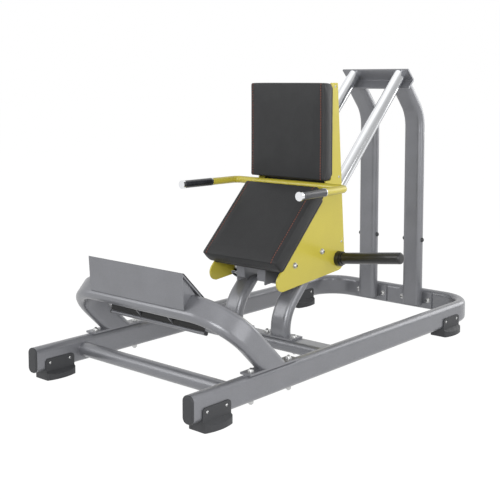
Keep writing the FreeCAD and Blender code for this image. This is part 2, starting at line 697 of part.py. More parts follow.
def rail_stops():
    collars = []
    bumpers = []
    for side, sign in sides:
        collar = hollow("stop_collar_" + side, "stop_collar_round", "rail_round + 2 * liner_play",
                        "stop_collar_width")
        on_rail(collar, f"{sign} * rail_x", "stop_start", turn="rail_angle - 90")
        collars.append(collar)
        bumper = hollow("bumper_" + side, "bumper_round", "rail_round + 2 * liner_play", "bumper_length")
        on_rail(bumper, f"{sign} * rail_x", "stop_start + stop_collar_width", turn="rail_angle - 90")
        bumpers.append(bumper)
    group("stop_collars", collars)
    group("stop_bumpers", bumpers)


# Rear uprights, their flanges on the rear tube and the folded bracket on top
def upright(side, sign):
    body = new_body("upright_" + side)
    path = sketch(body, "YZ_Plane", f"{sign} * rail_x")
    outline(path, [("upright_y", "upright_lift"), ("upright_y", "upright_corner_z", "upright_bend"),
                   ("upright_end_y", "upright_end_z")], closed=False)
    profile = sketch(body, "XY_Plane", "upright_lift")
    tube_section(profile, "tube_tall", "tube_wide", f"{sign} * rail_x", "upright_y")
    pipe(body, profile, path)
    node("upright_" + side, body)


def upright_flanges(drills):
    plates = []
    for side, sign in sides:
        plate = box("upright_flange_" + side, "upright_flange_width", "upright_flange_thick",
                    "upright_flange_tall")
        place(plate, f"{sign} * rail_x - upright_flange_width / 2", "upright_y + tube_wide / 2",
              "tube_mid - upright_flange_tall / 2")
        plates.append(cut("upright_flange_" + side, plate, drills[side]))
    group("upright_flanges", plates)


def black_plugs():
    # a low dome on each side face of both uprights, and a disc on each end of the lip rod
    plugs = []
    ball = "((plug_round / 2) ^ 2 + plug_dome ^ 2) / (2 * plug_dome)"
    for side, sign in sides:
        for face, out in (("outer", "1"), ("inner", "-1")):
            dome = doc.addObject("Part::Sphere", f"plug_{face}_{side}")
            bind(dome, "Radius", ball)
            bind(dome, "Angle1", f"asin(1 - plug_dome / ({ball}))")
            dome.Angle2 = 90
            place(dome, z=f"plug_dome - ({ball})")
            holder = doc.addObject("Part::Compound", f"plug_seat_{face}_{side}")
            holder.Links = [dome]
            place(holder, f"{sign} * (rail_x + {out} * tube_tall / 2)", "upright_y", "plug_height", Y_AXIS,
                  f"{int(sign) * int(out)} * 90")
            plugs.append(holder)
        disc = rod("lip_plug_" + side, "lip_round", "lip_plug")
        place(disc, f"{sign} * plate_width / 2", lip_y, lip_z, Y_AXIS, f"{sign} * 90")
        plugs.append(disc)
    group("black_plugs", plugs)


def top_bracket(drills):
    body = new_body("bracket_fold")
    profile = sketch(body, "YZ_Plane")
    outline(profile, [
        ("bracket_y", "bracket_z", "bracket_round"),
        ("bracket_y - bracket_upper * rail_sin", "bracket_z + bracket_upper * rail_cos"),
        ("bracket_y - bracket_upper * rail_sin - bracket_thick * rail_cos",
         "bracket_z + bracket_upper * rail_cos - bracket_thick * rail_sin"),
        ("bracket_y - bracket_fold * (rail_sin + up_cos)",
         "bracket_z + bracket_fold * (rail_cos - up_sin)", "bracket_round - bracket_thick"),
        ("bracket_y - bracket_lower * up_cos - bracket_thick * up_sin",
         "bracket_z - bracket_lower * up_sin + bracket_thick * up_cos"),
        ("bracket_y - bracket_lower * up_cos", "bracket_z - bracket_lower * up_sin")])
    pad(body, profile, "bracket_width", centred=True)
    node("top_bracket", cut("top_bracket", body, drills))


# Carriage plates
def side_plate(side, sign, drills):
    body = new_body("side_" + side)
    profile = sketch(body, "YZ_Plane", f"{sign} * (side_spacing - side_thick) / 2")
    slope_end = "(seat_line + side_notch_front * rail_sin) / rail_cos"
    outline(profile, [
        ("side_top_front", "side_top", "side_top_round"),
        ("side_top_rear", "side_top", "side_top_round"),
        ("side_heel_back", "-side_heel_drop", "side_heel_round"),
        ("-side_toe_reach * rail_cos - seat_line * rail_sin",
         "seat_line * rail_cos - side_toe_reach * rail_sin", "side_toe_round"),
        ("side_notch_front", slope_end),
        ("side_notch_front", "side_notch_rise"),
        ("side_top_front", "side_notch_rise")])
    pad(body, profile, "side_thick", centred=True)
    place(body, y="carriage_y", z="carriage_z")
    node("side_plate_" + side, cut("side_plate_" + side, body, drills))


def web_plate(side, sign, drills):
    body = new_body("web_" + side)
    profile = sketch(body, "YZ_Plane", f"{sign} * (web_face - web_thick / 2)")
    rear_low = ("web_rear * rail_cos + web_drop * rail_sin", "web_rear * rail_sin - web_drop * rail_cos")
    rear_high = ("web_rear * rail_cos - web_top * rail_sin", "web_rear * rail_sin + web_top * rail_cos")
    front_high = "(web_top - web_front * rail_sin) / rail_cos"
    outline(profile, [("-web_front", "-web_bottom"),
                      ("-web_heel", "-web_heel * rail_sin / rail_cos - web_drop / rail_cos"),
                      rear_low, rear_high, ("-web_front", front_high)])
    pad(body, profile, "web_thick", centred=True)
    place(body, y="carriage_y", z="carriage_z")
    lip = box("web_lip_" + side, "web_flange", "web_thick", f"web_bottom - web_flange_rise + {front_high}")
    start = "web_face - web_flange" if sign == "1" else "-web_face"
    place(lip, start, "carriage_y - web_front", "carriage_z - web_bottom + web_flange_rise")
    sheet_metal = join("web_" + side, [body, lip])
    node("web_plate_" + side, cut("web_plate_" + side, sheet_metal, drills))


# Bearing blocks between web and side plate, with plastic liners that run on the rails
def bearing_block(side, sign, level, along, drills):
    block = box(f"block_{level}_{side}", "side_face_in - web_face", "bearing_length", "2 * bearing_half")
    start = "web_face" if sign == "1" else "-side_face_in"
    on_rail(block, start, f"{along} - bearing_length / 2", "-bearing_half")
    bore = rod(f"block_bore_{level}_{side}", "liner_round + 2 * liner_play", "rail_length")
    on_rail(bore, f"{sign} * rail_x", turn="rail_angle - 90")
    return cut(f"bearing_block_{level}_{side}", block, [bore] + drills)


def bearing_liners(places):
    liners = []
    for side, sign in sides:
        for level, along in places:
            liner = hollow(f"liner_{level}_{side}", "liner_round", "bore_round", "bearing_length")
            on_rail(liner, f"{sign} * rail_x", f"{along} - bearing_length / 2", turn="rail_angle - 90")
            liners.append(liner)
    group("bearing_liners", liners)


# Cross members of the carriage
def front_tube():
    tube = hollow("front_tube", "front_tube_round", "bolt_round + 2 * bolt_play", "2 * side_face_in")
    on_rail(tube, "-side_face_in", "carriage_start - front_tube_along", "front_tube_rise", Y_AXIS, "90")
    node("front_tube", tube)


def horn_tube():
    tube = hollow("horn_tube", "horn_tube_round", "horn_tube_round - 2 * horn_tube_wall",
                  "2 * side_face_in")
    place(tube, "-side_face_in", "horn_y", "horn_z", Y_AXIS, "90")
    node("horn_tube", tube)


def rod_spots():
    # near the side plates' rear edge, whose lean sets how far back each one lies
    return [(name, f"side_top_rear + (side_top - ({rise})) * rear_slope - rod_edge", rise) for name, rise in (
        ("top", "side_top - rod_top_drop"), ("middle", "rod_middle_rise"), ("low", "-rod_low_drop"))]


def spacer_rods(drills):
    bars = []
    for name, back, rise in rod_spots():
        bar = rod("spacer_rod_" + name, "rod_round", "2 * side_face_in")
        place(bar, "-side_face_in", f"carriage_y + {back}", f"carriage_z + {rise}", Y_AXIS, "90")
        bars.append(cut("spacer_rod_" + name, bar, drills[name]))
    group("spacer_rods", bars)


def pad_strips():
    # the lower back strip shows in the gap between the back pad and the handlebar
    strips = []
    for name, inset in (("front", "seat_strip_inset - seat_start"),
                        ("rear", "seat_length - seat_start - seat_strip_inset - strip_width")):
        strip = box("seat_strip_" + name, "2 * side_face_in", "strip_width", "strip_thick")
        on_rail(strip, "-side_face_in", f"carriage_start + {inset}", "web_top")
        strips.append(strip)
    for name, shift in (("low", "-back_strip_drop - back_height / 2"),
                        ("high", "back_height / 2 - back_strip_inset - strip_width")):
        strip = box("back_strip_" + name, "2 * side_face_in", "strip_thick", "strip_width")
        place(strip, "-side_face_in", "back_face", f"back_middle + {shift}")
        strips.append(strip)
    group("pad_strips", strips)


# Boards and cushions: the local Z axis points out of the cushion's face
def to_seat(item, rise="0"):
    return on_rail(item, "0", "carriage_start + seat_middle", f"seat_line + {rise}")


def to_back(item, rise="0"):
    return place(item, "0", f"back_face - ({rise})", "back_middle", turn="90")


def board(label, wide, long, spot):
    body = new_body(label)
    profile = sketch(body, "XY_Plane")
    oblong(profile, f"{wide} - 2 * board_inset", f"{long} - 2 * board_inset", "board_corner")
    pad(body, profile, "board_thick")
    spot(body)
    node(label, body)


def cushion(label, wide, long, thick, spot):
    # drawn in at the board, fullest at mid height, rounded at the shoulder and crowned in the middle
    body = new_body(label)
    levels = [("0", "cushion_draw"),
              (f"({thick} - cushion_shoulder) / 4", "cushion_draw / 4"),
              (f"({thick} - cushion_shoulder) / 2", "0"),
              (f"{thick} - cushion_shoulder", "cushion_draw / 4"),
              (f"{thick} - cushion_crown - cushion_shoulder / 4", "cushion_shoulder / 2"),
              (f"{thick} - cushion_crown / 2", "cushion_shoulder * 2"),
              (thick, "crown_inset")]
    rings = []
    for rise, inset in levels:
        item = sketch(body, "XY_Plane", rise)
        oblong(item, f"{wide} - 2 * ({inset})", f"{long} - 2 * ({inset})", "cushion_corner")
        rings.append(item)
    loft = body.newObject("PartDesign::AdditiveLoft", label + "_loft")
    loft.Profile = rings[0]
    loft.Sections = rings[1:]
    loft.Ruled = False
    spot(body)
    node(label, body)


# Handlebar with its grips, rings and end caps
def handlebar():
    body = new_body("handlebar")
    arm_x = "(bar_half + bar_arm * sin(bar_splay * 1 deg))"
    arm_y = "(bar_y - bar_arm * cos(bar_splay * 1 deg))"
    for side, sign in sides:
        profile = sketch(body, "YZ_Plane")
        ring(profile, "bar_round / 2", "bar_y", "bar_z")
        ring(profile, "bar_round / 2 - bar_wall", "bar_y", "bar_z")
        path = sketch(body, "XY_Plane", "bar_z")
        outline(path, [("0", "bar_y"), (f"{sign} * bar_half", "bar_y", "bar_bend"),
                       (f"{sign} * {arm_x}", arm_y)], closed=False)
        pipe(body, profile, path)
    node("handlebar", body)


def on_arm(item, sign, along):
    splay = math.radians(value("bar_splay")) * int(sign)
    x = f"{sign} * (bar_half + ({along}) * sin(bar_splay * 1 deg))"
    y = f"bar_y - ({along}) * cos(bar_splay * 1 deg)"
    return place(item, x, y, "bar_z", FreeCAD.Vector(math.cos(splay), math.sin(splay), 0), "90")


def grip(side, sign):
    sleeve = hollow("grip_" + side, "bar_round + 2 * (grip_play + grip_wall)", "bar_round + 2 * grip_play",
                    "grip_length")
    node("grip_" + side, on_arm(sleeve, sign, "grip_start"))


def handle_trim():
    caps = []
    rings = []
    for side, sign in sides:
        shell = rod("handle_cap_" + side, "bar_round + 2 * (grip_play + cap_wall)", "cap_length")
        socket = rod("handle_socket_" + side, "bar_round + 2 * grip_play",
                     "overrun + bar_arm - grip_start - grip_length + grip_play")
        place(socket, z="-overrun")
        cap = cut("handle_cap_" + side, shell, [socket])
        caps.append(on_arm(cap, sign, "grip_start + grip_length"))
        collar = hollow("grip_ring_" + side, "bar_round + 2 * (grip_play + ring_wall)",
                        "bar_round + 2 * grip_play", "ring_length")
        rings.append(on_arm(collar, sign, "grip_start - ring_length"))
    group("handle_caps", caps)
    group("grip_rings", rings)


# Weight horns, tilted up a little, and the collars they stand in
def horn(side, sign):
    body = new_body("horn_bar_" + side)
    disc = sketch(body, "XY_Plane")
    ring(disc, "collar_ring_round / 2")
    pad(body, disc, "collar_thick + collar_ring_thick + horn_lead")
    disc = sketch(body, "XY_Plane")
    ring(disc, "horn_round / 2")
    bar = pad(body, disc, "horn_length")
    tip = value("horn_length")
    fillet(body, bar, "horn_tip_round", lambda edge: edge.BoundBox.ZMin > tip - value("horn_wall"))
    hole = sketch(body, "XY_Plane")
    ring(hole, "horn_round / 2 - horn_wall")
    pocket(body, hole, "horn_length - horn_tip_round", reverse=True)
    place(body, f"{sign} * side_spacing / 2", "horn_y", "horn_z", Y_AXIS, f"{sign} * (90 - horn_tilt)")
    inside = box("horn_trim_" + side, "2 * collar_end", "4 * horn_round", "4 * horn_round")
    place(inside, "-collar_end", "horn_y - 2 * horn_round", "horn_z - 2 * horn_round")
    node("horn_" + side, cut("horn_" + side, body, [inside]))


def horn_collars():
    collars = []
    for side, sign in sides:
        collar = rod("horn_collar_" + side, "collar_round", "collar_thick")
        place(collar, f"{sign} * side_spacing / 2", "horn_y", "horn_z", Y_AXIS, f"{sign} * 90")
        collars.append(collar)
    group("horn_collars", collars)


# Where the fasteners go
def arch_fixings():
    bolts = []
    holes = {}
    for side, sign in sides:
        holes[side] = []
        for end, way in (("front", "-1"), ("rear", "1")):
            y = f"arch_foot_y + {way} * (arch_flange_length / 2 - arch_bolt_inset)"
            bolt, hole = fixing(f"arch_bolt_{end}_{side}", "bolt", "arch_flange_thick + tube_tall",
                                lambda item: place(item, f"{sign} * side_x", y, "arch_foot_z"), nut=True)
            bolts.append(bolt)
            holes[side].append(hole)
    group("arch_bolts", bolts)
    return holes


def support_fixings():
    bolts = []
    holes = {}
    for side, sign in sides:
        holes[side] = []
        for end, way in (("inner", "-1"), ("outer", "1")):
            x = f"{sign} * (rail_x + {way} * support_bolt_gap / 2)"
            bolt, hole = fixing(f"support_bolt_{end}_{side}", "bolt", "support_plate_thick + tube_wide",
                                lambda item: place(item, x, "support_y", "support_foot_z"), nut=True)
            bolts.append(bolt)
            holes[side].append(hole)
    group("support_bolts", bolts)
    return holes


def upright_fixings():
    bolts = []
    holes = {}
    for side, sign in sides:
        holes[side] = []
        for end, way in (("inner", "-1"), ("outer", "1")):
            x = f"{sign} * (rail_x + {way} * upright_bolt_gap / 2)"
            bolt, hole = fixing(f"upright_bolt_{end}_{side}", "bolt", "upright_flange_thick + tube_wide",
                                lambda item: place(item, x, "upright_y + tube_wide / 2", "tube_mid",
                                                   X_AXIS, "90"), nut=True)
            bolts.append(bolt)
            holes[side].append(hole)
    group("upright_bolts", bolts)
    return holes


def rail_fixings():
    bolts = []
    foot_holes = {}
    top_holes = {}
    for side, sign in sides:
        grip_size = "rail_round + support_gap + tube_wall"
        bolt, hole = fixing("rail_foot_bolt_" + side, "bolt", grip_size,
                            lambda item: on_rail(item, f"{sign} * rail_x", "support_overlap / 4",
                                                 "rail_round / 2"))
        bolts.append(bolt)
        foot_holes[side] = [hole]
        bolt, hole = fixing("rail_top_bolt_" + side, "bolt", "bracket_thick + rail_end_wall",
                            lambda item: on_rail(item, f"{sign} * rail_x", "rail_length + bracket_thick",
                                                 "0", turn="rail_angle - 90"))
        bolts.append(bolt)
        top_holes[side] = [hole]
    group("rail_bolts", bolts)
    return foot_holes, top_holes


def foot_fixings(feet):
    screws = []
    holes = {}
    for name, sign, y in feet:
        holes[name] = []
        for face, out in (("outer", "1"), ("inner", "-1")):
            facing = int(sign) * int(out)
            x = f"{sign} * (side_x + {out} * (tube_wide / 2 + foot_play + flap_thick))"
            for end, way in (("front", "-1"), ("rear", "1")):
                spot_y = f"{y} + {way} * foot_screw_gap / 2"
                screw, hole = fixing(
                    f"{name}_screw_{face}_{end}", "screw", "flap_thick + foot_play + tube_wall",
                    lambda item: place(item, x, spot_y, "tube_lift + foot_screw_rise", Y_AXIS,
                                       f"{facing} * 90"))
                screws.append(screw)
                holes[name].append(hole)
    group("foot_screws", screws)
    return holes


def side_fixings():
    bolts = []
    plate_holes = {}
    block_holes = {}
    for side, sign in sides:
        x = f"{sign} * side_spacing / 2"
        plate_holes[side] = []
        for name, along, rise in (("tube", "-front_tube_along", "front_tube_rise"),
                                  ("block", "0", "-bearing_bolt_rise")):
            bolt, hole = fixing(f"side_bolt_{name}_{side}", "bolt", "side_thick + bolt_depth",
                                lambda item: on_rail(item, x, f"carriage_start + {along}", rise, Y_AXIS,
                                                     f"{sign} * 90"))
            bolts.append(bolt)
            plate_holes[side].append(hole)
            if name == "block":
                block_holes[side] = [hole]
    group("side_bolts", bolts)
    return plate_holes, block_holes


def rod_fixings():
    screws = []
    plate_holes = {side: [] for side, _ in sides}
    rod_holes = {}
    for name, back, rise in rod_spots():
        rod_holes[name] = []
        for side, sign in sides:
            screw, hole = fixing(f"rod_screw_{name}_{side}", "screw", "side_thick + screw_depth",
                                 lambda item: place(item, f"{sign} * side_spacing / 2",
                                                    f"carriage_y + {back}", f"carriage_z + {rise}",
                                                    Y_AXIS, f"{sign} * 90"))
            screws.append(screw)
            rod_holes[name].append(hole)
            plate_holes[side].append(hole)
    group("rod_screws", screws)
    return plate_holes, rod_holes


def web_fixings(places):
    bolts = []
    web_holes = {}
    block_holes = {}
    for side, sign in sides:
        web_holes[side] = []
        for level, along, rise in places:
            bolt, hole = fixing(f"web_bolt_{level}_{side}", "bolt", "web_thick + bolt_depth",
                                lambda item: on_rail(item, f"{sign} * web_inner", along, rise, Y_AXIS,
                                                     f"-({sign}) * 90"))
            bolts.append(bolt)
            web_holes[side].append(hole)
            block_holes.setdefault((side, level), []).append(hole)
        bore = rod("web_tube_hole_" + side, "front_tube_round + 2 * bolt_play", "2 * web_face + 2 * overrun")
        on_rail(bore, "-web_face - overrun", "carriage_start - front_tube_along", "front_tube_rise", Y_AXIS,
                "90")
        web_holes[side].append(bore)
    group("web_bolts", bolts)
    return web_holes, block_holes


def build():
    feet = [(f"foot_{end}_{side}", sign, y) for end, y in (("front", "foot_front_y"), ("rear", "foot_rear_y"))
            for side, sign in sides]
    arch_holes = arch_fixings()
    support_holes = support_fixings()
    upright_holes = upright_fixings()
    rail_foot_holes, rail_top_holes = rail_fixings()
    foot_holes = foot_fixings(feet)
    bearing_places = (("lower", "carriage_start"), ("upper", "carriage_start + bearing_pitch"))
    side_holes, side_block_holes = side_fixings()
    rod_plate_holes, rod_holes = rod_fixings()
    web_places = (("lower", "carriage_start", "bearing_bolt_rise"),
                  ("upper", "carriage_start + bearing_pitch", "bearing_bolt_rise"),
                  ("upper", "carriage_start + bearing_pitch", "-bearing_bolt_rise"))
    web_holes, web_block_holes = web_fixings(web_places)

    base_drills = [hole for group_holes in (arch_holes, upright_holes, foot_holes)
                   for holes in group_holes.values() for hole in holes]
    base_frame(base_drills)
    front_cross_tube()
    support_cross_tube([hole for holes in support_holes.values() for hole in holes])
    for name, sign, y in feet:
        foot(name, f"{sign} * side_x", y, foot_holes[name])
    arch_beam()
    arch_flanges(arch_holes)
    foot_plate()
    foot_plate_gussets()
    tread_mat()
    foot_rod()
    support_base_plates(support_holes)
    support_tie()
    rail_seats(rail_foot_holes)
    rail_stops()
    upright_flanges(upright_holes)
    black_plugs()
    top_bracket(rail_top_holes["left"] + rail_top_holes["right"])
    for side, sign in sides:
        end_cap(side, sign)
        guide_rail(side, sign, rail_foot_holes[side] + rail_top_holes[side])
        rail_support(side, sign, rail_foot_holes[side])
        upright(side, sign)
        side_plate(side, sign, side_holes[side] + rod_plate_holes[side])
        web_plate(side, sign, web_holes[side])
        blocks = []
        for level, along in bearing_places:
            block_drills = list(web_block_holes[side, level])
            if level == "lower":
                block_drills += side_block_holes[side]
            blocks.append(bearing_block(side, sign, level, along, block_drills))
        group("bearing_blocks_" + side, blocks)
        grip(side, sign)
        horn(side, sign)
    bearing_liners(bearing_places)
    front_tube()
    horn_tube()
    spacer_rods(rod_holes)
    pad_strips()
    board("seat_board", "seat_width", "seat_length", to_seat)
    board("back_board", "back_width", "back_height", to_back)
    cushion("seat_pad", "seat_width", "seat_length", "seat_thick", lambda item: to_seat(item, "board_thick"))
    cushion("back_pad", "back_width", "back_height", "back_thick", lambda item: to_back(item, "board_thick"))
    handlebar()
    handle_trim()
    horn_collars()


def check():
    for item in doc.Objects:
        if "Invalid" in item.State or "Error" in item.State:
            raise RuntimeError(f"{item.Name} failed: {item.State}")
    for item in nodes:
        if item.Shape.isNull() or not item.Shape.isValid():
            raise RuntimeError(f"{item.Label} has no valid shape")


def export():
    os.makedirs("parts", exist_ok=True)
    for item in nodes:
        item.Shape.exportStep(f"parts/{item.Label}.step")
        print(item.Label, len(item.Shape.Solids), round(item.Shape.Volume))


build()
doc.recompute()
check()
export()
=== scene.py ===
import bpy
import bmesh
import json
import math
from mathutils import Matrix, Vector
from mathutils.bvhtree import BVHTree


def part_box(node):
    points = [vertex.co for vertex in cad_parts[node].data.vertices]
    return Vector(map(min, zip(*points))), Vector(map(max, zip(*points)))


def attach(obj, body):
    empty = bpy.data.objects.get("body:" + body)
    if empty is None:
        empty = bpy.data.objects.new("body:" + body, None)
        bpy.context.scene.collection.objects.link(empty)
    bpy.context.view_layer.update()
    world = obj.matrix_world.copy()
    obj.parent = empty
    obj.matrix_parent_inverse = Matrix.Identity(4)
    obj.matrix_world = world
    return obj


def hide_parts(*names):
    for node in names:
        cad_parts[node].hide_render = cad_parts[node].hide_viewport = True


# Sizes are in metres and turns in degrees; a name that ends in Mm is in millimetres
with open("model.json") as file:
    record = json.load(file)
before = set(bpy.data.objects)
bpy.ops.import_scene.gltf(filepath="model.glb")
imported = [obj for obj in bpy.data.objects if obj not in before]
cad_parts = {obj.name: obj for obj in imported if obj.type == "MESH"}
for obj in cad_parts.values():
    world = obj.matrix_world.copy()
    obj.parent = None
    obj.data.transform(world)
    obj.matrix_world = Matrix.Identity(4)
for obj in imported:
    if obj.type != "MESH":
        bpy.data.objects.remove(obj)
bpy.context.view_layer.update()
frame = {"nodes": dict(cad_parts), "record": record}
print("frame loaded:", len(frame["nodes"]), "nodes")

scene = bpy.context.scene
scene.view_settings.view_transform = "Standard"


# Shared helpers for materials
def toLinear(code):
    parts = [int(code[i:i + 2], 16) / 255 for i in (1, 3, 5)]  # sRGB hex such as #7f8083
    return tuple(p / 12.92 if p <= 0.04045 else ((p + 0.055) / 1.055) ** 2.4 for p in parts) + (1.0,)


def addNode(tree, kind, values=None, **settings):
    node = tree.nodes.new(kind)
    for key, value in settings.items():
        setattr(node, key, value)
    for socket, value in (values or {}).items():
        if isinstance(value, bpy.types.NodeSocket):
            tree.links.new(value, node.inputs[socket])
        else:
            node.inputs[socket].default_value = value
    return node


white = (1.0, 1.0, 1.0, 1.0)
coatRoughness = 0.1
noiseRange = (0.3, 0.7)  # a Noise Texture seldom leaves these values


def startMaterial(name, look):
    material = bpy.data.materials.new(name)
    material.use_nodes = True
    tree = material.node_tree
    shader = next(node for node in tree.nodes if node.type == "BSDF_PRINCIPLED")
    shader.inputs["Metallic"].default_value = look.get("metallic", 0.0)
    shader.inputs["Roughness"].default_value = look["roughness"]
    shader.inputs["Specular IOR Level"].default_value = look.get("specular", 0.5)
    shader.inputs["Coat Weight"].default_value = look.get("coat", 0.0)
    shader.inputs["Coat Roughness"].default_value = coatRoughness
    place = addNode(tree, "ShaderNodeTexCoord")
    return material, tree, shader, place.outputs["Object"]


def blendColours(tree, shader, mask, look):
    mix = addNode(tree, "ShaderNodeMix", {0: mask, 6: toLinear(look["dark"]), 7: toLinear(look["light"])},
                  data_type="RGBA")
    tree.links.new(mix.outputs[2], shader.inputs["Base Color"])


def bumpFrom(tree, shader, height, depth, strength=1.0, under=None):
    values = {"Height": height, "Distance": depth, "Strength": strength}
    if under is not None:
        values["Normal"] = under
    bump = addNode(tree, "ShaderNodeBump", values)
    tree.links.new(bump.outputs["Normal"], shader.inputs["Normal"])
    return bump.outputs["Normal"]


def spread(tree, value, fromRange, toRange):
    ramp = addNode(tree, "ShaderNodeMapRange", {"Value": value, "From Min": fromRange[0],
                                                "From Max": fromRange[1], "To Min": toRange[0],
                                                "To Max": toRange[1]})
    return ramp.outputs["Result"]


def varyRoughness(tree, shader, mask, maskRange, toRange):
    tree.links.new(spread(tree, mask, maskRange, toRange), shader.inputs["Roughness"])


# Painted steel
paintLooks = {
    "greyMetallicPowderCoat": {"dark": "#737478", "light": "#88898e", "metallic": 0.30, "roughness": 0.34,
                               "coat": 0.30, "flakeMm": 2.2, "peelDepth": 0.00010},
    "oliveYellowPowderCoat": {"dark": "#c5b63e", "light": "#d2c54a", "metallic": 0.0, "roughness": 0.34,
                              "coat": 0.25, "flakeMm": 2.6, "peelDepth": 0.00008},
    "satinBlackPowderCoat": {"dark": "#141415", "light": "#1e1e20", "metallic": 0.0, "roughness": 0.38,
                             "coat": 0.2, "flakeMm": 2.2, "peelDepth": 0.00010},
}
paintPattern = {"cloudMm": 111.1, "flakeShare": 0.35, "peelMm": 3.0, "smoother": 0.05, "rougher": 0.06}


def powderCoat(name):
    # baked powder: an even colour with faint cloudiness, a soft sheen and a slight orange peel,
    # which is drawn coarser than the real one so that it shows
    look, pattern = paintLooks[name], paintPattern
    material, tree, shader, place = startMaterial(name, look)
    cloud = addNode(tree, "ShaderNodeTexNoise", {"Vector": place, "Scale": 1000 / pattern["cloudMm"],
                                                 "Detail": 3.0})
    flake = addNode(tree, "ShaderNodeTexVoronoi", {"Vector": place, "Scale": 1000 / look["flakeMm"]})
    sparkle = addNode(tree, "ShaderNodeMix", {0: pattern["flakeShare"], 2: cloud.outputs["Fac"],
                                              3: flake.outputs["Color"]})
    blendColours(tree, shader, sparkle.outputs[0], look)
    varyRoughness(tree, shader, cloud.outputs["Fac"], noiseRange,
                  (look["roughness"] - pattern["smoother"], look["roughness"] + pattern["rougher"]))
    peel = addNode(tree, "ShaderNodeTexNoise", {"Vector": place, "Scale": 1000 / pattern["peelMm"],
                                                "Detail": 2.0})
    bumpFrom(tree, shader, peel.outputs["Fac"], look["peelDepth"])
    return material


# Bare and plated metal
metalLooks = {
    "polishedHardChrome": {"dark": "#dfe1e4", "light": "#eeeff1", "metallic": 1.0, "roughness": 0.12,
                           "grainMm": 40.0, "smear": 0.02},
    "zincPlatedSteel": {"dark": "#b0b1b1", "light": "#cccccb", "metallic": 1.0, "roughness": 0.42,
                        "grainMm": 6.0, "smear": 0.08},
}


def platedMetal(name):
    # a metal plating: bright, with faint cloudy smears in its polish
    look = metalLooks[name]
    material, tree, shader, place = startMaterial(name, look)
    smear = addNode(tree, "ShaderNodeTexNoise", {"Vector": place, "Scale": 1000 / look["grainMm"],
                                                 "Detail": 4.0, "Roughness": 0.6})
    blendColours(tree, shader, smear.outputs["Fac"], look)
    varyRoughness(tree, shader, smear.outputs["Fac"], noiseRange,
                  (look["roughness"] - look["smear"] / 2, look["roughness"] + look["smear"]))
    return material


# Rubber, plastics and painted board
mouldedLooks = {
    "charcoalMouldedRubber": {"dark": "#303133", "light": "#3c3d40", "roughness": 0.55, "grainMm": 2.2,
                              "depth": 0.00016},
    "blackGripSleeve": {"dark": "#202227", "light": "#2c2e34", "roughness": 0.32, "coat": 0.25,
                        "grainMm": 1.8, "depth": 0.00006},
    "turnedNylon": {"dark": "#d2cfc4", "light": "#e2dfd6", "roughness": 0.45, "grainMm": 3.0,
                    "depth": 0.00004},
    "blackPaintedPlywood": {"dark": "#1a1a1b", "light": "#29282a", "roughness": 0.60, "grainMm": 6.0,
                            "depth": 0.00020},
    # shadowedSocket is painted shade for the hex sockets, not a finish that the bolts have
    "shadowedSocket": {"dark": "#232324", "light": "#39393b", "roughness": 0.45, "grainMm": 3.0,
                       "depth": 0.00002},
}
mouldedPattern = {"patchMm": 71.4, "smoother": 0.06, "rougher": 0.08}


def moulded(name):
    # a dull, fine-grained surface from the mould, the lathe or the brush
    look, pattern = mouldedLooks[name], mouldedPattern
    material, tree, shader, place = startMaterial(name, look)
    grain = addNode(tree, "ShaderNodeTexNoise", {"Vector": place, "Scale": 1000 / look["grainMm"],
                                                 "Detail": 3.0})
    patch = addNode(tree, "ShaderNodeTexNoise", {"Vector": place, "Scale": 1000 / pattern["patchMm"],
                                                 "Detail": 2.0})
    blendColours(tree, shader, patch.outputs["Fac"], look)
    varyRoughness(tree, shader, patch.outputs["Fac"], noiseRange,
                  (look["roughness"] - pattern["smoother"], look["roughness"] + pattern["rougher"]))
    bumpFrom(tree, shader, grain.outputs["Fac"], look["depth"])
    return material


treadLook = {"dark": "#0e0e0f", "light": "#19191a", "roughness": 0.6, "ribMm": 12.0, "depth": 0.0008,
             "tilt": 45}
waveRadians = 20  # a Wave Texture of scale 1 turns through this angle in one metre


def treadRubber():
    # pressed sheet rubber with ribs across the plate, drawn about twice as coarse as real ones,
    # so that they show
    material, tree, shader, place = startMaterial("ribbedSheetRubber", treadLook)
    turned = addNode(tree, "ShaderNodeMapping",
                     {"Vector": place, "Rotation": (math.radians(treadLook["tilt"]), 0.0, 0.0)})
    ribScale = 2 * math.pi * 1000 / treadLook["ribMm"] / waveRadians
    rib = addNode(tree, "ShaderNodeTexWave", {"Vector": turned.outputs["Vector"], "Scale": ribScale,
                                              "Distortion": 0.0}, bands_direction="Y")
    # the colour follows the ribs' height, so the grooves are painted darker and the crests lighter, as
    # painted shade in the grooves
    blendColours(tree, shader, rib.outputs["Fac"], treadLook)
    bumpFrom(tree, shader, rib.outputs["Fac"], treadLook["depth"])
    return material


leatherLook = {"dark": "#1e1e20", "light": "#28292a", "roughness": 0.50, "specular": 0.36,
               "pebbleMm": 3.4, "depth": 0.00028, "pebbleRange": (0.0, 0.7), "rougher": 0.10,
               "smoother": 0.04, "creaseMm": 60.0, "creaseDepth": 0.0012, "creaseStrength": 0.5}


def leatherette():
    # upholstery vinyl: pebble grain, drawn about twice as coarse as the real one, with a dull sheen
    look = leatherLook
    material, tree, shader, place = startMaterial("blackUpholsteryVinyl", look)
    pebble = addNode(tree, "ShaderNodeTexVoronoi", {"Vector": place, "Scale": 1000 / look["pebbleMm"]},
                     feature="SMOOTH_F1")
    crease = addNode(tree, "ShaderNodeTexNoise", {"Vector": place, "Scale": 1000 / look["creaseMm"],
                                                  "Detail": 5.0})
    # the colour follows the crease noise, so the hollows of the creases are painted darker, as painted shade
    blendColours(tree, shader, crease.outputs["Fac"], look)
    varyRoughness(tree, shader, pebble.outputs["Distance"], look["pebbleRange"],
                  (look["roughness"] + look["rougher"], look["roughness"] - look["smoother"]))
    fine = bumpFrom(tree, shader, pebble.outputs["Distance"], look["depth"])
    bumpFrom(tree, shader, crease.outputs["Fac"], look["creaseDepth"], look["creaseStrength"], fine)
    return material


threadLook = {"dark": "#6a3b30", "light": "#8a5040", "roughness": 0.6, "plyMm": 2.0, "depth": 0.0003}


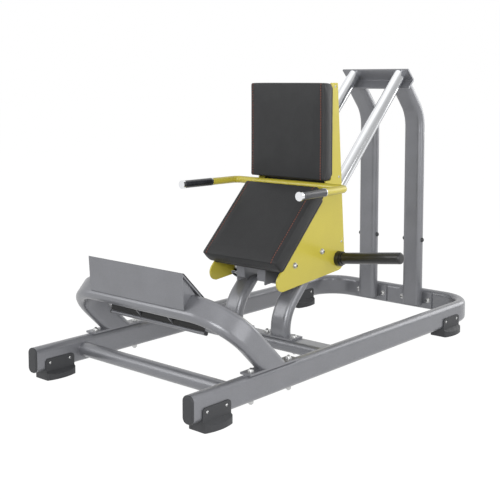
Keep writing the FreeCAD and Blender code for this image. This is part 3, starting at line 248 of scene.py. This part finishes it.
def seamThread():
    # reddish-brown polyester thread, twisted, with a dull shine
    material, tree, shader, place = startMaterial("reddishBrownThread", threadLook)
    ply = addNode(tree, "ShaderNodeTexNoise", {"Vector": place, "Scale": 1000 / threadLook["plyMm"]})
    # the colour follows the twist, so the hollows between the plies are painted darker, as painted shade
    blendColours(tree, shader, ply.outputs["Fac"], threadLook)
    bumpFrom(tree, shader, ply.outputs["Fac"], threadLook["depth"])
    return material


finishes = {
    "frame_paint": powderCoat("greyMetallicPowderCoat"),
    "accent_paint": powderCoat("oliveYellowPowderCoat"),
    "black_steel": powderCoat("satinBlackPowderCoat"),
    "chrome": platedMetal("polishedHardChrome"),
    "zinc": platedMetal("zincPlatedSteel"),
    "dark_rubber": moulded("charcoalMouldedRubber"),
    "grip_rubber": moulded("blackGripSleeve"),
    "bearing_plastic": moulded("turnedNylon"),
    "black_board": moulded("blackPaintedPlywood"),
    "tread_rubber": treadRubber(),
    "leatherette": leatherette(),
}
thread = seamThread()

for part in frame["record"]["subparts"]:
    piece = frame["nodes"][part["node"]]
    for slot in piece.material_slots:
        slot.material = finishes[part["material_slot"]]
print("finishes on the CAD nodes:", len(finishes))


# Shared helpers for meshes
def addPiece(name, mesh):
    piece = bpy.data.objects.new(name, mesh)
    scene.collection.objects.link(piece)
    return piece


def applyModifiers(piece):
    graph = bpy.context.evaluated_depsgraph_get()
    fresh = bpy.data.meshes.new_from_object(piece.evaluated_get(graph))
    piece.modifiers.clear()
    old = piece.data
    piece.data = fresh
    bpy.data.meshes.remove(old)


def startRowTree(name, sizes, finishLabel):
    # a Geometry Nodes tree whose named inputs are the sizes and one material
    tree = bpy.data.node_groups.new(name, "GeometryNodeTree")
    tree.interface.new_socket("Geometry", in_out="INPUT", socket_type="NodeSocketGeometry")
    for label, size in sizes.items():
        tree.interface.new_socket(label, in_out="INPUT", socket_type="NodeSocketFloat").default_value = size
    tree.interface.new_socket(finishLabel, in_out="INPUT", socket_type="NodeSocketMaterial")
    tree.interface.new_socket("Geometry", in_out="OUTPUT", socket_type="NodeSocketGeometry")
    return tree, addNode(tree, "NodeGroupInput").outputs


def fillRow(piece, tree, given):
    # run a node tree on a piece with its named inputs, and keep what it makes as plain mesh
    rows = piece.modifiers.new("rows", "NODES")
    rows.node_group = tree
    for item in tree.interface.items_tree:
        if item.in_out == "INPUT" and item.name in given:
            rows[item.identifier] = given[item.name]
    applyModifiers(piece)


# Hex sockets: Geometry Nodes lay a dark hexagon, a hair proud, on the crown of each fastener's head; no
# socket is cut, and its dark colour is painted shade that stands in for the shade inside the socket
socketLook = {"Socket Size": 0.0092, "Socket Depth": 0.0014}
screwLook = {"Socket Size": 0.0046, "Socket Depth": 0.0010}
headLook = {"mergeWithin": 0.00002, "leastLength": 0.006, "crownDepth": 0.0004}
boltRows = [
    {"node": "arch_bolts", "body": "frame", "way": "up", "look": socketLook},
    {"node": "support_bolts", "body": "frame", "way": "up", "look": socketLook},
    {"node": "upright_bolts", "body": "frame", "way": "front", "look": socketLook},
    {"node": "foot_screws", "body": "frame", "way": "offTube", "look": screwLook},
    {"node": "side_bolts", "body": "carriage", "way": "outward", "look": socketLook},
    {"node": "rod_screws", "body": "carriage", "way": "outward", "look": screwLook},
    {"node": "web_bolts", "body": "carriage", "way": "inward", "look": socketLook},
]


def headWay(row, middle):
    side = math.copysign(1.0, middle.x)
    if row["way"] == "up":
        return Vector((0, 0, 1))
    if row["way"] == "front":
        return Vector((0, -1, 0))
    if row["way"] == "offTube":
        low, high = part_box("foot_front_right")
        tubeMiddle = (low[0] + high[0]) / 2
        return Vector((side * math.copysign(1.0, abs(middle.x) - tubeMiddle), 0, 0))
    return Vector((side if row["way"] == "outward" else -side, 0, 0))


def headCrowns(row):
    # the highest point of each loose bolt of a node, and the way its head faces; the bolts are met
    # in the mesh's own order, so that every run gives the same sockets
    shape = bmesh.new()
    source = frame["nodes"][row["node"]]
    shape.from_mesh(source.data)
    shape.transform(source.matrix_world)
    bmesh.ops.remove_doubles(shape, verts=shape.verts, dist=headLook["mergeWithin"])
    left = set(shape.verts)
    crowns = []
    for first in shape.verts:
        if first not in left:
            continue
        left.discard(first)
        island, frontier = [], [first]
        while frontier:
            vertex = frontier.pop()
            island.append(vertex)
            for link in vertex.link_edges:
                other = link.other_vert(vertex)
                if other in left:
                    left.discard(other)
                    frontier.append(other)
        middle = sum((v.co for v in island), Vector()) / len(island)
        way = headWay(row, middle)
        top = max(v.co.dot(way) for v in island)
        low = min(v.co.dot(way) for v in island)
        if top - low > headLook["leastLength"]:
            spot = [v.co for v in island if v.co.dot(way) > top - headLook["crownDepth"]]
            crowns.append((sum(spot, Vector()) / len(spot) - way * headLook["crownDepth"], way))
    shape.free()
    return crowns


def socketTree():
    tree, given = startRowTree("hexSockets", socketLook, "Finish")
    half = addNode(tree, "ShaderNodeMath", {0: given["Socket Size"], 1: 0.5}, operation="MULTIPLY")
    recess = addNode(tree, "GeometryNodeMeshCylinder", {"Vertices": 6, "Radius": half.outputs[0],
                                                        "Depth": given["Socket Depth"]})
    facing = addNode(tree, "GeometryNodeInputNamedAttribute", {"Name": "headWay"}, data_type="FLOAT_VECTOR")
    turn = addNode(tree, "FunctionNodeAlignRotationToVector", {"Vector": facing.outputs[0]}, axis="Z")
    laid = addNode(tree, "GeometryNodeInstanceOnPoints", {"Points": given["Geometry"],
                                                          "Instance": recess.outputs["Mesh"],
                                                          "Rotation": turn.outputs["Rotation"]})
    real = addNode(tree, "GeometryNodeRealizeInstances", {"Geometry": laid.outputs["Instances"]})
    dark = addNode(tree, "GeometryNodeSetMaterial", {"Geometry": real.outputs["Geometry"],
                                                     "Material": given["Finish"]})
    addNode(tree, "NodeGroupOutput", {"Geometry": dark.outputs["Geometry"]})
    return tree


def makeSockets(row, tree, shade):
    crowns = headCrowns(row)
    mesh = bpy.data.meshes.new(row["node"] + "Sockets")
    mesh.from_pydata([spot for spot, _ in crowns], [], [])
    ways = mesh.attributes.new("headWay", "FLOAT_VECTOR", "POINT")
    for i, (_, way) in enumerate(crowns):
        ways.data[i].vector = way
    piece = addPiece(mesh.name, mesh)
    fillRow(piece, tree, dict(row["look"], Finish=shade))
    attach(piece, row["body"])
    return len(crowns)


socketShade = moulded("shadowedSocket")
sockets = socketTree()
print("sockets:", sum(makeSockets(row, sockets, socketShade) for row in boltRows))


# Cushions: a boxed foam pad under vinyl, swelled a little by cloth pressure
seatCushion = {"node": "seat_pad", "board": "seat_board", "tilt": 45, "width": 0.410, "length": 0.410,
               "thick": 0.068, "boardThick": 0.012, "corner": 0.007, "edge": 0.006, "drawIn": 0.004,
               "crown": 0.003, "seamInset": 0.024, "swell": 0.005, "sideSwell": 0.002,
               "fill": 0.8}
backCushion = {"node": "back_pad", "board": "back_board", "tilt": 90, "width": 0.410, "length": 0.415,
               "thick": 0.068, "boardThick": 0.012, "corner": 0.007, "edge": 0.006, "drawIn": 0.004,
               "crown": 0.003, "seamInset": 0.015, "swell": 0.005, "sideSwell": 0.002,
               "fill": 0.8}
sideShares = [(0.0, 1.0), (0.2, 0.4), (0.45, 0.0)]  # of the pad's height, and of its draw-in there
padMesh = {"cornerSteps": 6, "edgeSteps": 4, "leastCorner": 0.004, "cornerLossShare": 0.5, "voxel": 0.005}
padCloth = {"pressure": 4.0, "frames": 20, "pinnedBase": 0.006, "pinnedEdgeShare": 1.1}
grooves = {"fromHeightShare": 0.7, "seamDepth": 0.0016, "seamReach": 0.006, "borderEdgeShare": 0.45,
           "borderDepth": 0.0012, "borderReach": 0.004}


def padPlace(look):
    low, high = (Vector(corner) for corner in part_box(look["board"]))
    turn = Matrix.Rotation(math.radians(look["tilt"]), 4, "X")
    seat = (low + high) / 2 + turn.to_3x3() @ Vector((0, 0, look["boardThick"] / 2))
    return Matrix.Translation(seat) @ turn


def roundedRing(width, length, corner, count):
    points = []
    for quarter in range(4):
        middle = Vector(((width / 2 - corner) * (1, -1, -1, 1)[quarter],
                         (length / 2 - corner) * (1, 1, -1, -1)[quarter]))
        for step in range(count + 1):
            angle = math.pi / 2 * (quarter + step / count)
            points.append(middle + corner * Vector((math.cos(angle), math.sin(angle))))
    return points


def padShape(look):
    thick, edge = look["thick"], look["edge"]
    levels = [(thick * up, look["drawIn"] * inward) for up, inward in sideShares]
    levels.append((thick - edge, 0.0))
    for step in range(1, padMesh["edgeSteps"] + 1):
        angle = math.pi / 2 * step / padMesh["edgeSteps"]
        levels.append((thick - edge + (edge - look["crown"]) * math.sin(angle), edge * (1 - math.cos(angle))))
    shape = bmesh.new()
    rings = []
    for rise, inset in levels:
        corner = max(look["corner"] - inset * padMesh["cornerLossShare"], padMesh["leastCorner"])
        outline = roundedRing(look["width"] - 2 * inset, look["length"] - 2 * inset, corner,
                              padMesh["cornerSteps"])
        rings.append([shape.verts.new((p.x, p.y, rise)) for p in outline])
    for lower, upper in zip(rings, rings[1:]):
        for i in range(len(lower)):
            j = (i + 1) % len(lower)
            shape.faces.new((lower[i], lower[j], upper[j], upper[i]))
    shape.faces.new(list(reversed(rings[0])))
    shape.faces.new(rings[-1])
    bmesh.ops.recalc_face_normals(shape, faces=shape.faces)
    return shape


def onSewnEdge(co, look):
    # close to at least two of the pad's sides and face, so on an edge or a corner
    reach = look["edge"] * padCloth["pinnedEdgeShare"]
    gaps = (look["width"] / 2 - abs(co.x), look["length"] / 2 - abs(co.y), look["thick"] - co.z)
    return sum(gap < reach for gap in gaps) > 1


def swellPad(piece, look):
    # the base and the sewn edges are pinned, and no point moves further than the look's swell
    before = [v.co.copy() for v in piece.data.vertices]
    pins = piece.vertex_groups.new(name="pins")
    held = [i for i, co in enumerate(before) if co.z < padCloth["pinnedBase"] or onSewnEdge(co, look)]
    pins.add(held, 1.0, "REPLACE")
    cloth = piece.modifiers.new("swell", "CLOTH")
    cloth.settings.use_pressure = True
    cloth.settings.uniform_pressure_force = padCloth["pressure"]
    cloth.settings.effector_weights.gravity = 0.0
    cloth.settings.vertex_group_mass = "pins"
    cloth.point_cache.frame_start = 1
    cloth.point_cache.frame_end = padCloth["frames"]
    for number in range(1, padCloth["frames"] + 1):
        scene.frame_set(number)
    applyModifiers(piece)
    scene.frame_set(1)
    for vertex, start in zip(piece.data.vertices, before):
        step = vertex.co - start
        allowed = look["swell"] if start.z > look["thick"] - look["edge"] else look["sideSwell"]
        if step.length > allowed:
            vertex.co = start + step * (allowed / step.length)
        vertex.co.z = max(vertex.co.z, 0.0)
    piece.vertex_groups.clear()


def sewSeams(piece, look):
    # a shallow groove where the face panel meets each side border, and along the edge of the face
    seam = (look["width"] / 2 - look["seamInset"], grooves["seamDepth"], grooves["seamReach"])
    border = (look["width"] / 2 - look["edge"] * grooves["borderEdgeShare"], grooves["borderDepth"],
              grooves["borderReach"])
    for vertex in piece.data.vertices:
        if vertex.co.z < look["thick"] * grooves["fromHeightShare"]:
            continue
        for place, depth, reach in (seam, border):
            gap = abs(abs(vertex.co.x) - place)
            if gap < reach:
                vertex.co.z -= depth * (0.5 + 0.5 * math.cos(math.pi * gap / reach))


def makeCushion(name, look):
    shape = padShape(look)
    mesh = bpy.data.meshes.new(name)
    shape.to_mesh(mesh)
    shape.free()
    piece = addPiece(name, mesh)
    remesh = piece.modifiers.new("even", "REMESH")
    remesh.mode = "VOXEL"
    remesh.voxel_size = padMesh["voxel"]
    applyModifiers(piece)
    swellPad(piece, look)
    finer = piece.modifiers.new("finer", "SUBSURF")
    finer.levels = finer.render_levels = 1
    applyModifiers(piece)
    sewSeams(piece, look)
    piece.data.shade_smooth()
    piece.data.materials.clear()
    piece.data.materials.append(finishes["leatherette"])
    return piece


# Stitches: Geometry Nodes lay small beads of thread along a line of points on the cushion
stitchLook = {"Stitch Length": 0.0090, "Thread Width": 0.0042, "Spacing": 0.0115}
seamLine = {"points": 61, "rayHeight": 0.2, "lift": 0.0002}


def stitchTree():
    tree, given = startRowTree("stitchRow", stitchLook, "Thread")
    line = addNode(tree, "GeometryNodeMeshToCurve", {"Mesh": given["Geometry"]})
    even = addNode(tree, "GeometryNodeCurveToPoints", {"Curve": line.outputs["Curve"],
                                                       "Length": given["Spacing"]}, mode="LENGTH")
    thin = addNode(tree, "ShaderNodeMath", {0: given["Thread Width"], 1: 0.5}, operation="MULTIPLY")
    size = addNode(tree, "ShaderNodeCombineXYZ", {"X": thin.outputs[0], "Y": thin.outputs[0],
                                                  "Z": given["Stitch Length"]})
    half = addNode(tree, "ShaderNodeVectorMath", {0: size.outputs[0], 1: (1.0, 1.0, 0.5)},
                   operation="MULTIPLY")
    bead = addNode(tree, "GeometryNodeMeshUVSphere", {"Segments": 8, "Rings": 6, "Radius": 1.0})
    turn = addNode(tree, "FunctionNodeAlignRotationToVector", {"Vector": even.outputs["Tangent"]}, axis="Z")
    laid = addNode(tree, "GeometryNodeInstanceOnPoints", {"Points": even.outputs["Points"],
                                                          "Instance": bead.outputs["Mesh"],
                                                          "Rotation": turn.outputs["Rotation"],
                                                          "Scale": half.outputs[0]})
    real = addNode(tree, "GeometryNodeRealizeInstances", {"Geometry": laid.outputs["Instances"]})
    smooth = addNode(tree, "GeometryNodeSetShadeSmooth", {0: real.outputs["Geometry"]})
    dyed = addNode(tree, "GeometryNodeSetMaterial", {"Geometry": smooth.outputs[0],
                                                     "Material": given["Thread"]})
    addNode(tree, "NodeGroupOutput", {"Geometry": dyed.outputs["Geometry"]})
    return tree


def seamPoints(piece, look):
    # both seams, dropped on to the cushion's face from above
    surface = BVHTree.FromPolygons([v.co for v in piece.data.vertices],
                                   [p.vertices for p in piece.data.polygons])
    lines = []
    for way in (-1, 1):
        x = way * (look["width"] / 2 - look["seamInset"])
        run = []
        for step in range(seamLine["points"]):
            along = 2 * step / (seamLine["points"] - 1) - 1
            y = along * (look["length"] / 2 - look["edge"])
            hit = surface.ray_cast(Vector((x, y, seamLine["rayHeight"])), Vector((0, 0, -1)))[0]
            run.append(hit + Vector((0, 0, seamLine["lift"])))
        lines.append(run)
    return lines


def makeStitches(name, lines, tree):
    mesh = bpy.data.meshes.new(name)
    spots, edges = [], []
    for run in lines:
        first = len(spots)
        spots += run
        edges += [(first + i, first + i + 1) for i in range(len(run) - 1)]
    mesh.from_pydata(spots, edges, [])
    piece = addPiece(name, mesh)
    fillRow(piece, tree, dict(stitchLook, Thread=thread))
    return piece


stitches = stitchTree()
for name, look in (("seatCushion", seatCushion), ("backCushion", backCushion)):
    cushion = makeCushion(name, look)
    seam = makeStitches(name + "Stitches", seamPoints(cushion, look), stitches)
    for piece in (cushion, seam):
        piece.data.transform(padPlace(look))
        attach(piece, "carriage")
    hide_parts(look["node"])
    print(name, "made with", len(cushion.data.polygons), "faces")


# Studio: a pale floor, a white surround and soft lamps
studio = {"floor": "#f2f2f2", "floorBounce": "#d4d4d4", "floorReach": 40, "floorGlow": 0.90,
          "glowLevel": 1.09, "wallHeights": (0.1, 0.9), "wallStrength": 0.60, "skyStrength": 0.06,
          "panelTurn": (0.15, 0.75), "panelStrength": 0.55}


def whiteForViewers(tree):
    # which rays come from the camera or through glass, and which are mirrored
    path = addNode(tree, "ShaderNodeLightPath")
    seen = addNode(tree, "ShaderNodeMath", {0: path.outputs["Is Camera Ray"],
                                            1: path.outputs["Is Transmission Ray"]}, operation="MAXIMUM")
    return seen.outputs[0], path.outputs["Is Glossy Ray"]


def buildFloor():
    reach = studio["floorReach"]
    mesh = bpy.data.meshes.new("studioFloor")
    mesh.from_pydata([(-reach, -reach, 0), (reach, -reach, 0), (reach, reach, 0), (-reach, reach, 0)], [],
                     [(0, 1, 2, 3)])
    floor = addPiece("studioFloor", mesh)
    material = bpy.data.materials.new("paleStudioFloor")
    material.use_nodes = True
    tree = material.node_tree
    tree.nodes.clear()
    seen, glossy = whiteForViewers(tree)
    bright = addNode(tree, "ShaderNodeMath", {0: seen, 1: glossy}, operation="MAXIMUM")
    tone = addNode(tree, "ShaderNodeMix", {0: bright.outputs[0], 6: toLinear(studio["floorBounce"]),
                                           7: toLinear(studio["floor"])}, data_type="RGBA")
    matt = addNode(tree, "ShaderNodeBsdfDiffuse", {"Color": tone.outputs[2]})
    glow = addNode(tree, "ShaderNodeEmission", {"Color": white, "Strength": studio["glowLevel"]})
    share = addNode(tree, "ShaderNodeMath", {0: bright.outputs[0], 1: studio["floorGlow"]},
                    operation="MULTIPLY")
    mixed = addNode(tree, "ShaderNodeMixShader", {0: share.outputs[0], 1: matt.outputs[0],
                                                  2: glow.outputs[0]})
    addNode(tree, "ShaderNodeOutputMaterial", {"Surface": mixed.outputs[0]})
    mesh.materials.append(material)


def buildWorld():
    # soft light from the walls that fades upwards, white for the camera, and for mirrored rays
    # a white panel that dims towards +X
    world = bpy.data.worlds.new("studioWorld")
    scene.world = world
    world.use_nodes = True
    tree = world.node_tree
    tree.nodes.clear()
    seen, glossy = whiteForViewers(tree)
    way = addNode(tree, "ShaderNodeTexCoord")
    height = addNode(tree, "ShaderNodeSeparateXYZ", {"Vector": way.outputs["Generated"]})
    wall = spread(tree, height.outputs["Z"], studio["wallHeights"],
                  (studio["wallStrength"], studio["skyStrength"]))
    panel = spread(tree, height.outputs["X"], studio["panelTurn"], (1.0, studio["panelStrength"]))
    shine = addNode(tree, "ShaderNodeMix", {0: glossy, 2: wall, 3: panel})
    level = addNode(tree, "ShaderNodeMix", {0: seen, 2: shine.outputs[0], 3: 1.0}).outputs[0]
    sky = addNode(tree, "ShaderNodeBackground", {"Color": white, "Strength": level})
    addNode(tree, "ShaderNodeOutputWorld", {"Surface": sky.outputs[0]})


lampTarget = (0.0, -0.1, 0.5)
lamps = [
    {"name": "keyLamp", "at": (3.4, -4.0, 2.4), "size": 2.6, "watts": 150},
    {"name": "leftLamp", "at": (-2.6, -4.0, 2.6), "size": 2.4, "watts": 56},
    {"name": "sideLamp", "at": (4.6, 0.6, 1.6), "size": 2.6, "watts": 55},
    {"name": "topLamp", "at": (-0.4, 0.8, 4.2), "size": 3.0, "watts": 8},
    {"name": "rearLamp", "at": (1.6, 4.6, 1.9), "size": 2.6, "watts": 60},
]


def buildLamps():
    for lamp in lamps:
        light = bpy.data.lights.new(lamp["name"], "AREA")
        light.shape = "SQUARE"
        light.size = lamp["size"]
        light.energy = lamp["watts"]
        holder = addPiece(lamp["name"], light)
        holder.location = lamp["at"]
        aim = Vector(lampTarget) - Vector(lamp["at"])
        holder.rotation_euler = aim.to_track_quat("-Z", "Y").to_euler()


# The photograph's viewpoint, solved from the base's parallel tubes. Pixels are the photograph's, and
# the lens centre is counted from its upper edge
photoView = {"pixels": 500, "focalPixels": 950.7, "lensCentrePixels": 166.8, "sensorMm": 36.0,
             "at": (2.6188, -3.1735, 1.180), "pitchDown": 5.18, "azimuth": 41.18, "farClip": 100.0}


def buildCamera():
    pixels = photoView["pixels"]
    lens = bpy.data.cameras.new("photoCamera")
    lens.sensor_width = photoView["sensorMm"]
    lens.lens = photoView["sensorMm"] * photoView["focalPixels"] / pixels
    lens.shift_y = -(pixels / 2 - photoView["lensCentrePixels"]) / pixels
    lens.clip_end = photoView["farClip"]
    camera = addPiece("photoCamera", lens)
    camera.location = photoView["at"]
    camera.rotation_euler = (math.radians(90 - photoView["pitchDown"]), 0.0,
                             math.radians(photoView["azimuth"]))
    scene.camera = camera


buildFloor()
buildWorld()
buildLamps()
buildCamera()
print("studio, lamps and camera ready")
